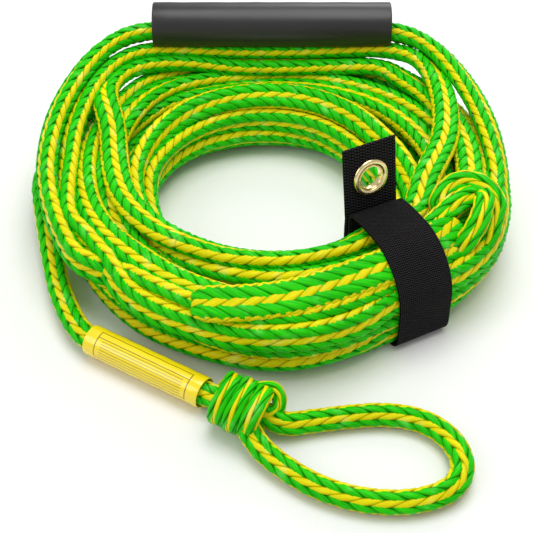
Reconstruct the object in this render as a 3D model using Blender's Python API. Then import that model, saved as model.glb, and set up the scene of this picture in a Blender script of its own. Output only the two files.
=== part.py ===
"""A towable tow rope, coiled for storage: a flattened hollow-braid line in one round coil, with a grip
sleeve threaded on its outermost turn, a knotted end loop in front, a second knotted end loop tucked under
the storage strap, and a webbing strap with a brass grommet. Metres, +Z up, standing on z = 0."""

from math import cos, pi, radians, sin, sqrt, tau

import bmesh
import bpy
from mathutils import Matrix, Vector

# ---- driving dimensions ----
COIL_CENTRE = Vector((0.00415, 0.05785, 0.0))
ROPE_RADIUS = 0.0083
GAP = 0.0004

SLEEVE_LENGTH = 0.205
SLEEVE_RADIUS = 0.0195
SLEEVE_BORE = 0.0150
SLEEVE_CENTRE = Vector((-0.001, 0.160, 0.0885))
SLEEVE_EDGE = 0.0012

LABEL_START = Vector((-0.1310, -0.1460, 0.0118))
LABEL_END = Vector((-0.0480, -0.1975, 0.0118))
LABEL_RADIUS = 0.0112
LABEL_WALL = 0.0011
LABEL_EDGE = 0.0003

STRAP_WIDTH = 0.044
STRAP_THICKNESS = 0.0018
STRAP_ANGLE = radians(-62)
STRAP_MIDDLE = Vector((0.090, -0.103, 0.0))
PATCH_THICKNESS = 0.0011
PATCH_WIDTH = 0.038

# The strap's run, as (distance out, height): corner centres and their radii.
BAND_TUCK = (-0.0350, 0.0140)
BAND_INNER_CORNER = ((-0.0230, 0.0640), (0.0120, 0.0130))
BAND_OUTER_SHOULDER = ((-0.0040, 0.0345), (0.0420, 0.0425))
BAND_FOOT_CORNER = ((0.0290, 0.0112), (0.0090, 0.0100))
BAND_FLOOR_END = (-0.0340, 0.0012)
BAND_MIDDLE = (-0.001, 0.037)
CLEARANCE_REACH = 0.05
INNER_RUN_FOOT = 0.0042
INNER_RUN_BEND = 0.036
PATCH_HEIGHTS = (0.016, 0.038, 0.060)

TAB_FOOT = 0.068
TAB_HINGE_GAP = 0.0012
TAB_LENGTH = 0.0555
TAB_LEAN = radians(9)
GROMMET_UP_TAB = 0.0280
GROMMET_RADIUS = 0.0142
GROMMET_BORE = 0.0078
GROMMET_BARREL = 0.0092
GROMMET_CLEARANCE = 0.0003
FLANGE_HEIGHT = 0.0019
WASHER_DEPTH = 0.0011
BARREL_ROLL = 0.0014
CUTTER_DEPTH = 0.03

# Coil plan: angle in degrees, outer radius, inner radius, height of the bundle there.
COIL_STATIONS = [
    (0, 0.187, 0.084, 0.066),
    (30, 0.188, 0.084, 0.066),
    (48, 0.188, 0.084, 0.067),
    (70, 0.175, 0.085, 0.067),
    (90, 0.167, 0.086, 0.068),
    (110, 0.174, 0.088, 0.067),
    (130, 0.188, 0.091, 0.065),
    (148, 0.187, 0.093, 0.062),
    (168, 0.179, 0.093, 0.060),
    (190, 0.173, 0.092, 0.060),
    (215, 0.172, 0.093, 0.063),
    (245, 0.177, 0.094, 0.066),
    (270, 0.183, 0.095, 0.068),
    (295, 0.181, 0.099, 0.072),
    (315, 0.184, 0.100, 0.072),
    (338, 0.187, 0.090, 0.069),
]
COIL_STEPS = 72
SECTION_STEPS = 22
SECTION_SQUARENESS = 2.7
FLAT_BASE = 0.0022
TURNING_RADIUS = 10

ROUTE_STEP = 0.0115

# Free routes, each from where it leaves the coil or knot to where it ends.
HANDLE_ROUTE = [
    (-0.172, -0.032, 0.051),
    (-0.178, -0.006, 0.053),
    (-0.180, 0.022, 0.056),
    (-0.179, 0.050, 0.060),
    (-0.174, 0.076, 0.065),
    (-0.165, 0.101, 0.071),
    (-0.153, 0.124, 0.077),
    (-0.139, 0.142, 0.081),
    (-0.122, 0.153, 0.0838),
    (-0.101, 0.157, 0.0848),
    (-0.060, 0.1575, 0.0848),
    (0.000, 0.1575, 0.0848),
    (0.060, 0.1575, 0.0848),
    (0.099, 0.156, 0.0848),
    (0.120, 0.149, 0.0838),
    (0.137, 0.134, 0.081),
    (0.150, 0.113, 0.077),
    (0.161, 0.089, 0.072),
    (0.169, 0.064, 0.067),
    (0.174, 0.038, 0.062),
    (0.176, 0.012, 0.057),
    (0.176, -0.012, 0.052),
]
TAIL_ROUTE = [
    (-0.187, 0.014, 0.029),
    (-0.186, -0.008, 0.026),
    (-0.182, -0.034, 0.0215),
    (-0.176, -0.062, 0.0165),
    (-0.168, -0.090, 0.0128),
    (-0.157, -0.114, 0.0115),
    (-0.145, -0.1325, 0.0118),
    (-0.131, -0.146, 0.0118),
    (-0.100, -0.1652, 0.0118),
    (-0.075, -0.1807, 0.0118),
    (-0.048, -0.1975, 0.0118),
    (-0.037, -0.205, 0.0140),
    (-0.026, -0.212, 0.0175),
]
LOOP_ROUTE = [
    (0.0062, -0.2238, 0.0108),
    (0.026, -0.2200, 0.0088),
    (0.051, -0.2160, 0.0086),
    (0.076, -0.2145, 0.0086),
    (0.098, -0.2195, 0.0086),
    (0.113, -0.2310, 0.0086),
    (0.121, -0.2465, 0.0086),
    (0.121, -0.2625, 0.0086),
    (0.113, -0.2755, 0.0086),
    (0.098, -0.2835, 0.0086),
    (0.078, -0.2870, 0.0086),
    (0.053, -0.2845, 0.0086),
    (0.029, -0.2755, 0.0086),
    (0.009, -0.2620, 0.0090),
    (-0.0090, -0.2455, 0.0112),
]
TUCKED_ROUTE = [
    (-0.050, -0.1600, 0.0600),
    (-0.022, -0.1605, 0.0610),
    (0.008, -0.1565, 0.0620),
    (0.038, -0.1460, 0.0630),
    (0.066, -0.1320, 0.0640),
    (0.092, -0.1160, 0.0640),
    (0.114, -0.0970, 0.0645),
    (0.130, -0.0780, 0.0650),
]
TUCKED_SIZE = (0.0132, 0.0068)
TUCKED_SIDES = 12
TUCKED_SQUARENESS = 0.7
TUCKED_TILT = radians(34)

FRONT_KNOT_CENTRE = Vector((-0.021, -0.2170, 0.0206))
FRONT_KNOT_SIZE = (0.0250, 0.0205, 0.0188)
FRONT_KNOT_TURN = radians(-28)
KNOT_WAIST = 0.07
KNOT_WRAPS = 3
STUB_ROUTE = [(-0.012, -0.2110, 0.0200), (-0.004, -0.2085, 0.0205), (0.0045, -0.2070, 0.0200)]
SIDE_KNOT_CENTRE = Vector((0.1475, -0.0500, 0.0640))
SIDE_KNOT_SIZE = (0.0200, 0.0235, 0.0185)
SIDE_KNOT_TURN = radians(24)


# ---- helpers ----
def clear_scene():
    for obj in list(bpy.data.objects):
        bpy.data.objects.remove(obj, do_unlink=True)


def material(name, colour, roughness, metallic=0.0):
    mat = bpy.data.materials.new(name)
    mat.use_nodes = True
    shader = mat.node_tree.nodes["Principled BSDF"]
    shader.inputs["Base Color"].default_value = (*colour, 1.0)
    shader.inputs["Roughness"].default_value = roughness
    shader.inputs["Metallic"].default_value = metallic
    return mat


def add(name, data, mat=None):
    """Puts a mesh or curve in the scene, in the coil's own frame."""
    obj = bpy.data.objects.new(name, data)
    bpy.context.scene.collection.objects.link(obj)
    obj.parent = FRAME
    if mat:
        data.materials.append(mat)
    return obj


def from_bmesh(name, bm, mat=None, smooth_angle=40):
    bmesh.ops.recalc_face_normals(bm, faces=bm.faces)
    mesh = bpy.data.meshes.new(name)
    bm.to_mesh(mesh)
    bm.free()
    mesh.shade_smooth()
    mesh.set_sharp_from_angle(angle=radians(smooth_angle))
    return add(name, mesh, mat)


def as_helper(obj):
    obj.hide_render = True
    obj.display_type = "WIRE"
    return obj


def cut(obj, cutter):
    trim = obj.modifiers.new("cut_" + cutter.name, "BOOLEAN")
    trim.operation = "DIFFERENCE"
    trim.solver = "EXACT"
    trim.object = cutter


def smooth_route(points, step):
    """Points about a step apart on the smooth curve through a route's own points."""
    route = [Vector(p) for p in points]
    route = [2 * route[0] - route[1]] + route + [2 * route[-1] - route[-2]]
    fine = []
    for before, a, b, after in zip(route, route[1:], route[2:], route[3:]):
        for i in range(24):
            t = i / 24
            fine.append(
                a
                + (b - before) * (t / 2)
                + (2 * before - 5 * a + 4 * b - after) * (t * t / 2)
                + (3 * a - before - 3 * b + after) * (t**3 / 2)
            )
    fine.append(route[-2])
    along = [0.0]
    for a, b in zip(fine, fine[1:]):
        along.append(along[-1] + (b - a).length)
    count = max(2, round(along[-1] / step))
    even, k = [], 0
    for i in range(count + 1):
        want = along[-1] * i / count
        while k < len(along) - 2 and along[k + 1] < want:
            k += 1
        share = (want - along[k]) / (along[k + 1] - along[k])
        even.append(fine[k].lerp(fine[k + 1], share))
    return even


def tube_curve(name, points, radius, rounding=3):
    curve = bpy.data.curves.new(name, "CURVE")
    curve.dimensions = "3D"
    curve.bevel_depth = radius
    curve.bevel_resolution = rounding
    curve.use_fill_caps = True
    spline = curve.splines.new("POLY")
    spline.points.add(len(points) - 1)
    for spot, p in zip(spline.points, points):
        spot.co = (*p, 1.0)
    return curve


def rope_tube(name, points, mat):
    return add(name, tube_curve(name, points, ROPE_RADIUS), mat)


def tube_cutter(name, points, radius):
    """A closed mesh tube, for cutting a nest in what the rope lies on."""
    guide = add(name + "_guide", tube_curve(name + "_guide", points, radius))
    bpy.context.view_layer.update()
    graph = bpy.context.evaluated_depsgraph_get()
    mesh = bpy.data.meshes.new_from_object(guide.evaluated_get(graph))
    bpy.data.objects.remove(guide, do_unlink=True)
    bm = bmesh.new()
    bm.from_mesh(mesh)
    bmesh.ops.remove_doubles(bm, verts=bm.verts, dist=1e-6)
    return as_helper(from_bmesh(name, bm))


# ---- the coil ----
def station(angle):
    """Outer radius, inner radius and height of the coil at an angle, eased between the stations."""
    degrees_on = (angle * 360 / tau) % 360
    count = len(COIL_STATIONS)
    for i in range(count):
        low, high = COIL_STATIONS[i], COIL_STATIONS[(i + 1) % count]
        span = (high[0] - low[0]) % 360
        past = (degrees_on - low[0]) % 360
        if past < span:
            share = 0.5 - 0.5 * cos(pi * past / span)
            return [a + (b - a) * share for a, b in zip(low[1:], high[1:])]
    return COIL_STATIONS[0][1:]


def power(value, exponent):
    return abs(value) ** exponent * (1 if value >= 0 else -1)


def coil_bundle(mat):
    """A turned ring, then pulled to the coil's own plan, with a flat base."""
    bm = bmesh.new()
    section = []
    for i in range(SECTION_STEPS):
        a = tau * i / SECTION_STEPS
        across = power(cos(a), 2 / SECTION_SQUARENESS)
        up = power(sin(a), 2 / SECTION_SQUARENESS)
        section.append(bm.verts.new((TURNING_RADIUS + across, 0, up)))
    edges = [bm.edges.new((section[i - 1], section[i])) for i in range(SECTION_STEPS)]
    bmesh.ops.spin(
        bm, geom=section + edges, cent=(0, 0, 0), axis=(0, 0, 1), angle=tau, steps=COIL_STEPS, use_merge=True
    )
    bmesh.ops.remove_doubles(bm, verts=bm.verts, dist=1e-4)
    for vert in bm.verts:
        reach = sqrt(vert.co.x**2 + vert.co.y**2)
        facing = Vector((vert.co.x, vert.co.y, 0)) / reach
        outer, inner, height = station(Vector((1, 0)).angle_signed(facing.xy, 0.0) * -1)
        radius = (outer + inner) / 2 + (reach - TURNING_RADIUS) * (outer - inner) / 2
        z = (height - FLAT_BASE) / 2 + vert.co.z * (height + FLAT_BASE) / 2
        vert.co = facing * radius + Vector((0, 0, max(0.0, z)))
    bmesh.ops.dissolve_degenerate(bm, dist=1e-6, edges=bm.edges)
    return from_bmesh("coil_bundle", bm, mat)


# ---- knots ----
def knot(name, centre, size, turn, mat, grow=0.0):
    """A tight knot's outer shape: a ball of crossing wraps with a waist between them."""
    bm = bmesh.new()
    bmesh.ops.create_uvsphere(bm, u_segments=20, v_segments=12, radius=1.0)
    bmesh.ops.rotate(bm, verts=bm.verts, cent=(0, 0, 0), matrix=Matrix.Rotation(pi / 2, 3, "Y"))
    for vert in bm.verts:
        along = vert.co.x
        swell = 1 + KNOT_WAIST * cos(KNOT_WRAPS * pi * along) * (1 - along * along)
        wide = vert.co.y * (size[1] * swell + grow)
        tall = vert.co.z * (size[2] * swell + grow)
        vert.co = Vector((along * (size[0] + grow), wide, tall))
    bmesh.ops.rotate(bm, verts=bm.verts, cent=(0, 0, 0), matrix=Matrix.Rotation(turn, 3, "Z"))
    bmesh.ops.translate(bm, verts=bm.verts, vec=centre)
    return from_bmesh(name, bm, mat)


# ---- flattened loop tucked under the strap ----
def flat_rope(name, points, half_width, half_depth, tilt, mat=None):
    """A flattened tube with a rounded section, its broad face leaning outwards from the coil."""
    bm = bmesh.new()
    rings = []
    for i, p in enumerate(points):
        ahead = points[min(i + 1, len(points) - 1)] - points[max(i - 1, 0)]
        ahead.normalize()
        outward = ahead.cross(Vector((0, 0, 1))).normalized()
        flat = outward * cos(tilt) - Vector((0, 0, 1)) * sin(tilt)
        deep = flat.cross(ahead).normalized()
        ring = []
        for k in range(TUCKED_SIDES):
            a = tau * k / TUCKED_SIDES
            across = power(cos(a), TUCKED_SQUARENESS) * half_width
            through = power(sin(a), TUCKED_SQUARENESS) * half_depth
            ring.append(bm.verts.new(p + flat * across + deep * through))
        rings.append(ring)
    loops = [[bm.edges.new((ring[k - 1], ring[k])) for k in range(TUCKED_SIDES)] for ring in rings]
    for near, far in zip(loops, loops[1:]):
        bmesh.ops.bridge_loops(bm, edges=near + far)
    bm.faces.new(rings[0])
    bm.faces.new(rings[-1])
    return from_bmesh(name, bm, mat)


# ---- grip and label sleeves ----
def sleeve(name, start, end, radius, bore, edge, segments, mat):
    """A tube turned from its wall's outline, with eased end edges."""
    length = (end - start).length
    outline = [
        (bore, 0.0),
        (radius - edge, 0.0),
        (radius - 0.29 * edge, 0.29 * edge),
        (radius, edge),
        (radius, length - edge),
        (radius - 0.29 * edge, length - 0.29 * edge),
        (radius - edge, length),
        (bore, length),
    ]
    bm = bmesh.new()
    ring = [bm.verts.new((r, 0, z)) for r, z in outline]
    edges = [bm.edges.new((ring[i - 1], ring[i])) for i in range(len(ring))]
    bmesh.ops.spin(
        bm, geom=ring + edges, cent=(0, 0, 0), axis=(0, 0, 1), angle=tau, steps=segments, use_merge=True
    )
    bmesh.ops.remove_doubles(bm, verts=bm.verts, dist=1e-6)
    obj = from_bmesh(name, bm, mat, smooth_angle=30)
    obj.location = start
    obj.rotation_euler = (end - start).to_track_quat("Z", "Y").to_euler()
    return obj


# ---- strap ----
def strap_point(out, z, across=0.0):
    """A point given as its distance outwards along the strap's run, its height and its place across it."""
    outward = Vector((cos(STRAP_ANGLE), sin(STRAP_ANGLE), 0))
    sideways = Vector((-sin(STRAP_ANGLE), cos(STRAP_ANGLE), 0))
    return STRAP_MIDDLE + outward * out + sideways * across + Vector((0, 0, z))


def arc(centre, radius, start, stop, steps):
    """Points on an arc in the strap's plane, from one angle to another in degrees."""
    return [
        (
            centre[0] + radius[0] * cos(radians(start + (stop - start) * i / steps)),
            centre[1] + radius[1] * sin(radians(start + (stop - start) * i / steps)),
        )
        for i in range(steps + 1)
    ]


def band_profile(inset=0.0):
    """The strap's wrapped run, from the tucked end up the inner side, over, down and under."""
    corners = (BAND_INNER_CORNER, BAND_OUTER_SHOULDER, BAND_FOOT_CORNER)
    turns = ((180, 90, 5), (80, 0, 9), (0, -90, 5))
    path = [(BAND_TUCK[0] + inset, BAND_TUCK[1])]
    for (centre, radii), turn in zip(corners, turns):
        path += arc(centre, (radii[0] - inset, radii[1] - inset), *turn)
    return path + [(BAND_FLOOR_END[0], BAND_FLOOR_END[1] + inset)]


def webbing(name, path, width, thickness, mat=None, offset=0.0):
    """A strip of webbing laid along a path in the strap's plane."""
    bm = bmesh.new()
    verts = [bm.verts.new(strap_point(out, z, -width / 2)) for out, z in path]
    edges = [bm.edges.new(pair) for pair in zip(verts, verts[1:])]
    wide = bmesh.ops.extrude_edge_only(bm, edges=edges)["geom"]
    across = strap_point(0, 0, width) - strap_point(0, 0, 0)
    bmesh.ops.translate(bm, verts=[g for g in wide if isinstance(g, bmesh.types.BMVert)], vec=across)
    obj = from_bmesh(name, bm, mat)
    wall = obj.modifiers.new("thickness", "SOLIDIFY")
    wall.thickness = thickness
    wall.offset = offset
    wall.use_even_offset = True
    return obj


def strap_clearance():
    """Everything outside the strap's inner face, across its width, so that nothing it holds reaches it."""
    inner = STRAP_THICKNESS / 2 + GAP
    path = band_profile(inner)
    closed = [(path[0][0], path[-1][1])] + path[:-1] + [(path[0][0], path[-1][1])]
    bm = bmesh.new()
    half = STRAP_WIDTH / 2 + 2 * GAP
    inside = [bm.verts.new(strap_point(out, z, -half)) for out, z in closed[:-1]]
    outside = []
    for out, z in closed[:-1]:
        away = Vector((out - BAND_MIDDLE[0], z - BAND_MIDDLE[1])).normalized() * CLEARANCE_REACH
        outside.append(bm.verts.new(strap_point(out + away.x, z + away.y, -half)))
    count = len(inside)
    faces = [
        bm.faces.new((inside[i], inside[(i + 1) % count], outside[(i + 1) % count], outside[i]))
        for i in range(count)
    ]
    grown = bmesh.ops.extrude_face_region(bm, geom=faces)["geom"]
    across = strap_point(0, 0, 2 * half) - strap_point(0, 0, 0)
    bmesh.ops.translate(bm, verts=[g for g in grown if isinstance(g, bmesh.types.BMVert)], vec=across)
    return as_helper(from_bmesh("strap_clearance", bm))


LAYER = STRAP_THICKNESS + 2 * PATCH_THICKNESS + 3 * GAP
INNER_RUN_OUT = BAND_TUCK[0] - LAYER


def strap_inner_run(mat):
    heights = (INNER_RUN_FOOT, INNER_RUN_BEND, TAB_FOOT - TAB_HINGE_GAP)
    path = [(INNER_RUN_OUT, z) for z in heights]
    return webbing("strap_inner_run", path, STRAP_WIDTH, STRAP_THICKNESS, mat)


def patch(name, out, mat):
    return webbing(name, [(out, z) for z in PATCH_HEIGHTS], PATCH_WIDTH, PATCH_THICKNESS, mat)


def tab_point(up, out=0.0):
    """A point up the leaning tab from its foot, and out from its face, as the strap's plane has it."""
    return (
        INNER_RUN_OUT - up * sin(TAB_LEAN) + out * cos(TAB_LEAN),
        TAB_FOOT + up * cos(TAB_LEAN) + out * sin(TAB_LEAN),
    )


def tab_facing():
    return strap_point(*tab_point(0, 1)) - strap_point(*tab_point(0))


def grommet_cutter(radius):
    bm = bmesh.new()
    bmesh.ops.create_cone(
        bm, cap_ends=True, segments=32, radius1=radius, radius2=radius, depth=CUTTER_DEPTH
    )
    facing = tab_facing().to_track_quat("Z", "Y").to_matrix()
    bmesh.ops.rotate(bm, verts=bm.verts, cent=(0, 0, 0), matrix=facing)
    bmesh.ops.translate(bm, verts=bm.verts, vec=strap_point(*tab_point(GROMMET_UP_TAB)))
    return as_helper(from_bmesh("grommet_hole", bm))


def strap_tab(mat):
    path = [tab_point(TAB_LENGTH * share) for share in (0, 0.5, 1)]
    tab = webbing("strap_tab", path, STRAP_WIDTH, STRAP_THICKNESS, mat)
    cut(tab, grommet_cutter(GROMMET_BARREL + GROMMET_CLEARANCE))
    return tab


def turned_on_tab(name, outline, mat):
    """A brass piece turned from its outline of radius and distance out, on the grommet's axis."""
    bm = bmesh.new()
    ring = [bm.verts.new((r, 0, out)) for r, out in outline]
    edges = [bm.edges.new((ring[i - 1], ring[i])) for i in range(len(ring))]
    bmesh.ops.spin(
        bm, geom=ring + edges, cent=(0, 0, 0), axis=(0, 0, 1), angle=tau, steps=32, use_merge=True
    )
    bmesh.ops.remove_doubles(bm, verts=bm.verts, dist=1e-6)
    obj = from_bmesh(name, bm, mat, smooth_angle=30)
    obj.location = strap_point(*tab_point(GROMMET_UP_TAB))
    obj.rotation_euler = tab_facing().to_track_quat("Z", "Y").to_euler()
    return obj


def grommet(mat):
    """The grommet's flange with its barrel, and the washer that the barrel is rolled over behind the tab."""
    face = STRAP_THICKNESS / 2 + GAP
    back = -face - WASHER_DEPTH
    turned_on_tab(
        "grommet_flange",
        [
            (GROMMET_BORE, back - BARREL_ROLL),
            (GROMMET_BARREL, back - BARREL_ROLL),
            (GROMMET_BARREL, face),
            (GROMMET_RADIUS, face),
            (GROMMET_RADIUS - 0.3 * FLANGE_HEIGHT, face + 0.5 * FLANGE_HEIGHT),
            (GROMMET_RADIUS - 1.6 * FLANGE_HEIGHT, face + FLANGE_HEIGHT),
            (GROMMET_BORE + 0.7 * FLANGE_HEIGHT, face + FLANGE_HEIGHT),
            (GROMMET_BORE, face + 0.3 * FLANGE_HEIGHT),
        ],
        mat,
    )
    turned_on_tab(
        "grommet_washer",
        [
            (GROMMET_BARREL + GROMMET_CLEARANCE, -face),
            (GROMMET_BARREL + GROMMET_CLEARANCE, back),
            (GROMMET_RADIUS - 0.9 * WASHER_DEPTH, back),
            (GROMMET_RADIUS, -face - 0.5 * WASHER_DEPTH),
            (GROMMET_RADIUS, -face),
        ],
        mat,
    )


# ---- assembly ----
clear_scene()
FRAME = bpy.data.objects.new("coil_frame", None)
bpy.context.scene.collection.objects.link(FRAME)
FRAME.location = COIL_CENTRE

green_rope = material("braided_rope", (0.10, 0.55, 0.06), 0.5)
yellow_rope = material("braided_rope_knots", (0.55, 0.62, 0.05), 0.5)
grip = material("grip_rubber", (0.025, 0.024, 0.026), 0.38)
label = material("label_film", (0.90, 0.72, 0.03), 0.3)
black_webbing = material("black_webbing", (0.012, 0.011, 0.012), 0.8)
hook_tape = material("hook_and_loop", (0.02, 0.02, 0.022), 0.95)
brass = material("brass", (0.80, 0.62, 0.24), 0.2, metallic=1.0)

handle_points = smooth_route(HANDLE_ROUTE, ROUTE_STEP)
tail_points = smooth_route(TAIL_ROUTE, ROUTE_STEP)
loop_points = smooth_route(LOOP_ROUTE, ROUTE_STEP)
stub_points = smooth_route(STUB_ROUTE, ROUTE_STEP / 2)
tucked_points = smooth_route(TUCKED_ROUTE, ROUTE_STEP)

bundle = coil_bundle(green_rope)
rope_tube("handle_turn", handle_points, green_rope)
rope_tube("tail_lead", tail_points, green_rope)
rope_tube("front_loop", loop_points, green_rope)
rope_tube("front_knot_end", stub_points, yellow_rope)
front_knot = knot("front_knot", FRONT_KNOT_CENTRE, FRONT_KNOT_SIZE, FRONT_KNOT_TURN, yellow_rope)
side_knot = knot("side_knot", SIDE_KNOT_CENTRE, SIDE_KNOT_SIZE, SIDE_KNOT_TURN, yellow_rope)
tucked_loop = flat_rope("tucked_loop", tucked_points, *TUCKED_SIZE, TUCKED_TILT, green_rope)

half_sleeve = Vector((SLEEVE_LENGTH / 2, 0, 0))
sleeve(
    "handle_sleeve",
    SLEEVE_CENTRE - half_sleeve,
    SLEEVE_CENTRE + half_sleeve,
    SLEEVE_RADIUS,
    SLEEVE_BORE,
    SLEEVE_EDGE,
    40,
    grip,
)
label_bore = LABEL_RADIUS - LABEL_WALL
sleeve("label_sleeve", LABEL_START, LABEL_END, LABEL_RADIUS, label_bore, LABEL_EDGE, 32, label)

webbing("strap_band", band_profile(), STRAP_WIDTH, STRAP_THICKNESS, black_webbing)
strap_inner_run(black_webbing)
strap_tab(black_webbing)
hook_out = BAND_TUCK[0] - STRAP_THICKNESS / 2 - GAP - PATCH_THICKNESS / 2
patch("hook_patch", hook_out, hook_tape)
patch("loop_patch", hook_out - PATCH_THICKNESS - GAP, hook_tape)
grommet(brass)

clearance = strap_clearance()
handle_nest = tube_cutter("handle_nest", handle_points, ROPE_RADIUS + GAP)
tail_nest = tube_cutter("tail_nest", tail_points, ROPE_RADIUS + GAP)
stub_nest = tube_cutter("stub_nest", stub_points, ROPE_RADIUS + GAP)
tucked_nest = as_helper(
    flat_rope("tucked_nest", tucked_points, TUCKED_SIZE[0] + GAP, TUCKED_SIZE[1] + GAP, TUCKED_TILT)
)
side_nest = as_helper(knot("side_nest", SIDE_KNOT_CENTRE, SIDE_KNOT_SIZE, SIDE_KNOT_TURN, None, grow=GAP))

cut(bundle, clearance)
cut(bundle, handle_nest)
cut(bundle, tail_nest)
cut(bundle, tucked_nest)
cut(bundle, side_nest)
cut(tucked_loop, clearance)
cut(tucked_loop, side_nest)
cut(front_knot, tail_nest)
cut(front_knot, stub_nest)
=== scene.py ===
from math import atan2, cos, pi, radians, sin, tau

import bmesh
import bpy
import numpy as np
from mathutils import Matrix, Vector


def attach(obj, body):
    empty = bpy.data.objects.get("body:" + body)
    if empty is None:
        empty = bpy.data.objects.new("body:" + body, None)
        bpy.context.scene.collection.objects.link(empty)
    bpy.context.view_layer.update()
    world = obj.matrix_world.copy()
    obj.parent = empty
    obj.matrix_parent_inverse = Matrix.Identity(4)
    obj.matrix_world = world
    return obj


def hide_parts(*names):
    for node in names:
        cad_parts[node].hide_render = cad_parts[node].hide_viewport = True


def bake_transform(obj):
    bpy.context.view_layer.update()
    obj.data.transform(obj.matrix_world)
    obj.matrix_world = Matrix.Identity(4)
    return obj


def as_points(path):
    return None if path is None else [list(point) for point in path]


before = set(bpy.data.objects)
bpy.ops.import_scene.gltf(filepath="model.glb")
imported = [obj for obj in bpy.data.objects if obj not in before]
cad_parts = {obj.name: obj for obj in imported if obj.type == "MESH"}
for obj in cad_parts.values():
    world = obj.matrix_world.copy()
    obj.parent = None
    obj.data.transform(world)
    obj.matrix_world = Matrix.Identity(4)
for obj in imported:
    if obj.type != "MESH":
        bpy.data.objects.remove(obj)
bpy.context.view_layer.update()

# Lengths in metres. Routes are given about the coil's own centre, as in the part.
COIL_CENTRE = np.array((0.00415, 0.05785, 0.0))

UP = np.array((0.0, 0.0, 1.0))
# Up and towards the side that the coil is seen from.
VIEW_WAY = np.array((0.0, -0.743, 0.669))

# ---- the line: a flattened hollow braid of green strands one way round and yellow ones the other ----
STRANDS = 16
LEAF_PITCH = 0.0132
LEAD = LEAF_PITCH * STRANDS / 2
BRAID_ANGLE = radians(28)
STRAND_RISE = 0.00082
STRAND_THICKNESS = 0.00085
# Green strands stand this much prouder than yellow ones, and more so at the back of the coil.
GREEN_BIAS = 0.00022
LINE_WIDTH = 0.0214
LINE_DEPTH = 0.0112
# Steps along a quarter of a lead, and the same for pieces shorter than SHORT.
STEPS_PER_WAVE, FINE_STEPS, SHORT = 10, 15, 0.4


def linked(name, data):
    """A new object of the scene."""
    obj = bpy.data.objects.new(name, data)
    bpy.context.scene.collection.objects.link(obj)
    return obj


# ==== camera and light ====
def look_down():
    cam = bpy.data.cameras.new("camera")
    cam.lens = 80.17
    cam.sensor_width = 36.0
    obj = linked("camera", cam)
    obj.location = (-0.00143, -0.68701, 0.62151)
    obj.rotation_euler = (radians(48), 0, 0)
    bpy.context.scene.camera = obj


def softbox(name, place, aim, size, power):
    light = bpy.data.lights.new(name, "AREA")
    light.shape = "RECTANGLE"
    light.size, light.size_y = size
    light.energy = power
    obj = linked(name, light)
    obj.location = place
    obj.rotation_euler = (Vector(aim) - Vector(place)).to_track_quat("-Z", "Y").to_euler()


def room():
    world = bpy.data.worlds.new("studio")
    world.use_nodes = True
    world.node_tree.nodes["Background"].inputs["Color"].default_value = (1, 1, 1, 1)
    world.node_tree.nodes["Background"].inputs["Strength"].default_value = 0.52
    bpy.context.scene.world = world
    softbox("overhead", (0.15, 0.15, 1.5), (0, 0.05, 0), (1.3, 1.0), 15)
    softbox("window_left", (-1.3, -0.5, 1.0), (0, 0, 0.03), (0.9, 0.9), 6.2)
    softbox("window_back", (0.5, 1.4, 0.9), (0, 0.05, 0.03), (1.2, 0.7), 8)


look_down()
room()


# ==== shader maths ====
class Tree:
    """A material's node tree, with one method that makes any node."""

    def __init__(self, name):
        self.mat = bpy.data.materials.new(name)
        self.mat.use_nodes = True
        self.nodes = self.mat.node_tree.nodes
        self.links = self.mat.node_tree.links
        self.shader = self.nodes["Principled BSDF"]

    def node(self, kind, settings=None, out=0, **inputs):
        made = self.nodes.new("ShaderNode" + kind)
        for key, value in (settings or {}).items():
            if key == "stops":
                ramp = made.color_ramp
                while len(ramp.elements) < len(value):
                    ramp.elements.new(0.5)
                for element, (place, colour) in zip(ramp.elements, value):
                    element.position = place
                    element.color = colour
            else:
                setattr(made, key, value)
        for key, value in inputs.items():
            socket = made.inputs[int(key[1:])] if key[0] == "_" and key[1:].isdigit() else made.inputs[key]
            self.put(socket, value)
        return Wire(self, made.outputs[out])

    def put(self, socket, value):
        if isinstance(value, Wire):
            self.links.new(value.socket, socket)
        else:
            socket.default_value = value

    def set(self, **inputs):
        for key, value in inputs.items():
            self.put(self.shader.inputs[key.replace("_", " ")], value)
        return self.mat


class Wire:
    """A socket whose operators and methods add Math nodes."""

    def __init__(self, tree, socket):
        self.tree = tree
        self.socket = socket

    def math(self, operation, a, b=0.0, clamp=False):
        return self.tree.node("Math", {"operation": operation, "use_clamp": clamp}, _0=a, _1=b)

    def __rsub__(self, other):
        return self.math("SUBTRACT", other, self)

    def clamped(self):
        return self.math("ADD", self, 0.0, clamp=True)


def math_method(operation):
    """A method of Wire that adds one Math node."""
    return lambda self, other=0.0: self.math(operation, self, other)


for method, operation in {
    "__add__": "ADD", "__radd__": "ADD", "__sub__": "SUBTRACT", "__mul__": "MULTIPLY", "__rmul__": "MULTIPLY",
    "__truediv__": "DIVIDE", "__pow__": "POWER", "sine": "SINE", "size": "ABSOLUTE", "part": "FRACT",
    "over": "GREATER_THAN", "under": "LESS_THAN", "most": "MAXIMUM",
}.items():
    setattr(Wire, method, math_method(operation))


def colour(tree, share, low, high):
    """A colour between two, by a share from 0 to 1."""
    settings = {"data_type": "RGBA", "clamp_factor": True}
    low, high = (end if isinstance(end, Wire) else (*end, 1.0) for end in (low, high))
    return tree.node("Mix", settings, out=2, _0=share, _6=low, _7=high)


def across_along(tree, name):
    """The two parts of a UV map: across and along the piece."""
    parts = tree.node("SeparateXYZ", None, Vector=tree.node("UVMap", {"uv_map": name}))
    return parts, Wire(tree, parts.socket.node.outputs[1])


def bump(tree, height, strength, distance):
    return tree.node("Bump", None, Strength=strength, Distance=distance, Height=height)


def noise(tree, vector, scale, detail=3.0, rough=0.55):
    return tree.node("TexNoise", None, Vector=vector, Scale=scale, Detail=detail, Roughness=rough)


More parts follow.
